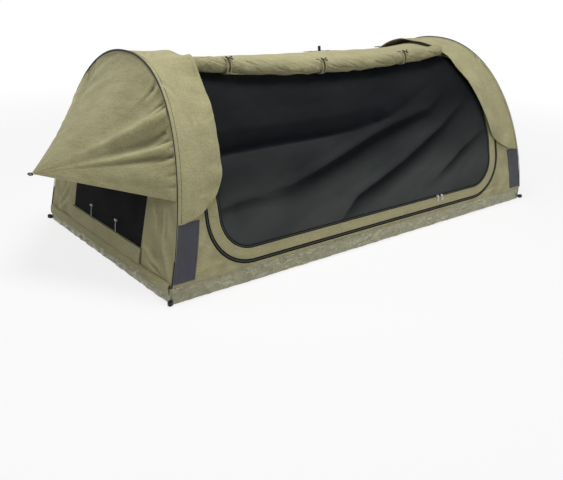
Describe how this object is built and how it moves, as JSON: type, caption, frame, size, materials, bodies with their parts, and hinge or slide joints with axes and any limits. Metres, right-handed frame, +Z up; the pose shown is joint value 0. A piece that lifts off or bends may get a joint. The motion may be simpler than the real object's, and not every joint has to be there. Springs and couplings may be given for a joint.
{
  "type": "swag bedroll",
  "caption": "Dome swag tent on a low PVC tub: mesh side door, canvas door rolled up along the ridge, hoop poles that fold down, hoods and visors at both ends.",
  "frame": {"origin": "middle of the tub's underside, on the ground", "axes": "+Z up, +X along the bed from foot to head, -Y towards the door side"},
  "size_m": [2.6678, 1.1328, 0.8091],
  "materials": {
    "canvas": "olive polyester-cotton canvas, matt plain weave",
    "canvas_shade": "the same canvas on the end walls",
    "mesh": "fine black insect mesh",
    "pvc": "heavy olive PVC-coated cloth, semi-gloss and crinkled",
    "patch": "dark slate reinforcing cloth",
    "zip": "black zip tape with coil teeth",
    "metal": "nickel-plated zip sliders and pulls",
    "pole": "drawn aluminium tube, satin",
    "webbing": "black woven webbing",
    "plastic": "black moulded plastic",
    "cord": "grey toggles on grey cord",
    "foam": "foam mattress in a light grey cotton cover"
  },
  "bodies": {
    "ground": {"corner_patch_foot_far": "patch", "corner_patch_foot_near": "patch", "corner_patch_head_far": "patch", "corner_patch_head_near": "patch", "door_border": "canvas", "door_tie_foot": "canvas", "door_tie_head": "canvas", "door_tie_middle": "canvas", "door_toggle_foot": "plastic", "door_toggle_head": "plastic", "door_toggle_middle": "plastic", "front_panel": "canvas", "ground_tub": "pvc", "mattress": "foam", "mesh_door": "mesh", "mesh_door_zip": "zip", "outer_door_zip": "zip", "peg_loop_foot_far": "webbing", "peg_loop_foot_near": "webbing", "peg_loop_head_far": "webbing", "peg_loop_head_near": "webbing", "pole_seat_foot_far": "plastic", "pole_seat_foot_near": "plastic", "pole_seat_head_far": "plastic", "pole_seat_head_near": "plastic", "rear_panel": "canvas", "ridge_strap": "webbing", "ridge_tab": "webbing", "rolled_door": "canvas", "roof_panel": "canvas"},
    "foot_hoop": {"foot_pole_near": "pole", "foot_pole_middle": "pole", "foot_pole_far": "pole", "foot_wall": "canvas_shade", "foot_window_mesh": "mesh", "foot_window_cover": "canvas_shade", "foot_window_toggle_near": "cord", "foot_window_toggle_far": "cord", "foot_hood": "canvas", "foot_visor": "canvas", "foot_visor_loop": "webbing"},
    "head_hoop": {"head_pole_near": "pole", "head_pole_middle": "pole", "head_pole_far": "pole", "head_wall": "canvas_shade", "head_window_mesh": "mesh", "head_window_cover": "canvas_shade", "head_window_toggle_near": "cord", "head_window_toggle_far": "cord", "head_hood": "canvas", "head_visor": "canvas", "head_visor_loop": "webbing"},
    "slider_left": {"mesh_zip_slider_left": "metal"},
    "pull_left": {"mesh_zip_pull_left": "metal"},
    "slider_right": {"mesh_zip_slider_right": "metal"},
    "pull_right": {"mesh_zip_pull_right": "metal"}
  },
  "joints": [
    {"name": "foot_hoop_fold", "type": "hinge", "parent": "ground", "child": "foot_hoop", "pos_m": [-1.0577, 0, 0.064], "axis": [0, 1, 0], "range_deg": [0, 76], "deforming": ["front_panel", "roof_panel", "rear_panel", "door_border", "mesh_door", "mesh_door_zip", "outer_door_zip", "rolled_door", "door_tie_foot", "door_tie_middle", "door_tie_head", "door_toggle_foot", "door_toggle_middle", "door_toggle_head", "ridge_strap", "ridge_tab", "corner_patch_foot_near", "corner_patch_foot_far", "corner_patch_head_near", "corner_patch_head_far", "foot_hood", "foot_visor", "foot_visor_loop"]},
    {"name": "head_hoop_fold", "type": "hinge", "parent": "ground", "child": "head_hoop", "pos_m": [1.0577, 0, 0.064], "axis": [0, -1, 0], "range_deg": [0, 76], "deforming": ["head_hood", "head_visor", "head_visor_loop"]},
    {"name": "mesh_zip_slide_left", "type": "slide", "parent": "ground", "child": "slider_left", "axis": [-1, 0, 0], "range_m": [0, 0.75]},
    {"name": "mesh_zip_slide_right", "type": "slide", "parent": "ground", "child": "slider_right", "axis": [0.9999, -0.0136, 0.0028], "range_m": [0, 0.23]},
    {"name": "mesh_zip_pull_left_swing", "type": "hinge", "parent": "slider_left", "child": "pull_left", "pos_m": [0.37188, -0.54592, 0.13916], "axis": [-0.9999, 0.0115, -0.0021], "range_deg": [0, 150]},
    {"name": "mesh_zip_pull_right_swing", "type": "hinge", "parent": "slider_right", "child": "pull_right", "pos_m": [0.40388, -0.5463, 0.13921], "axis": [-0.9999, 0.0121, -0.0022], "range_deg": [0, 150]}
  ],
  "couplings": [
    {"joint": "head_hoop_fold", "follows": "foot_hoop_fold", "ratio": 1}
  ]
}
